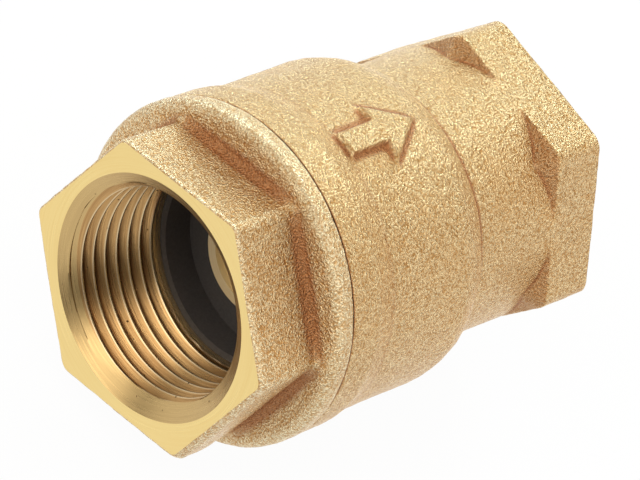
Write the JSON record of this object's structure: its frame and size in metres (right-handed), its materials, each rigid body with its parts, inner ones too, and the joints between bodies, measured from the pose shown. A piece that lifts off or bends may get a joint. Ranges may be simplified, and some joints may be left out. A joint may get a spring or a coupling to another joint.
{
  "type": "spring non-return valve",
  "caption": "In-line spring check valve for pipe: cast body with hexagon ends, screwed end cap, sprung disc on a rubber seat.",
  "frame": {"origin": "on the flow axis, half way between the inlet face and the outlet face", "axes": "+X along the flow from the inlet to the outlet, +Z through the cast flow arrow"},
  "size_m": [0.068, 0.0494, 0.0494],
  "materials": {
    "body_casting": "sand-cast bronze, rough",
    "cap_casting": "sand-cast bronze with a machined face, chamfer and thread",
    "turned_brass": "turned",
    "disc_plastic": "matt black",
    "seal_rubber": "matt black",
    "steel": "plain stainless",
    "spring_steel": "drawn stainless wire",
    "bush_plastic": "natural acetal"
  },
  "bodies": {
    "housing": {"body": "body_casting", "end_cap": "cap_casting", "cap_seal": "seal_rubber", "seat_ring": "seal_rubber", "guide_spider": "turned_brass", "guide_bush": "bush_plastic", "guide_clip": "steel", "spring": "spring_steel"},
    "poppet": {"disc_holder": "turned_brass", "seat_disc": "disc_plastic", "disc_retainer": "turned_brass", "disc_screw": "steel"}
  },
  "joints": [
    {"name": "disc_slide", "type": "slide", "parent": "housing", "child": "poppet", "axis": [1, 0, 0], "range_m": [0, 0.007], "stiffness_N_per_m": 330, "springref_m": -0.0036, "deforming": ["spring"]}
  ]
}
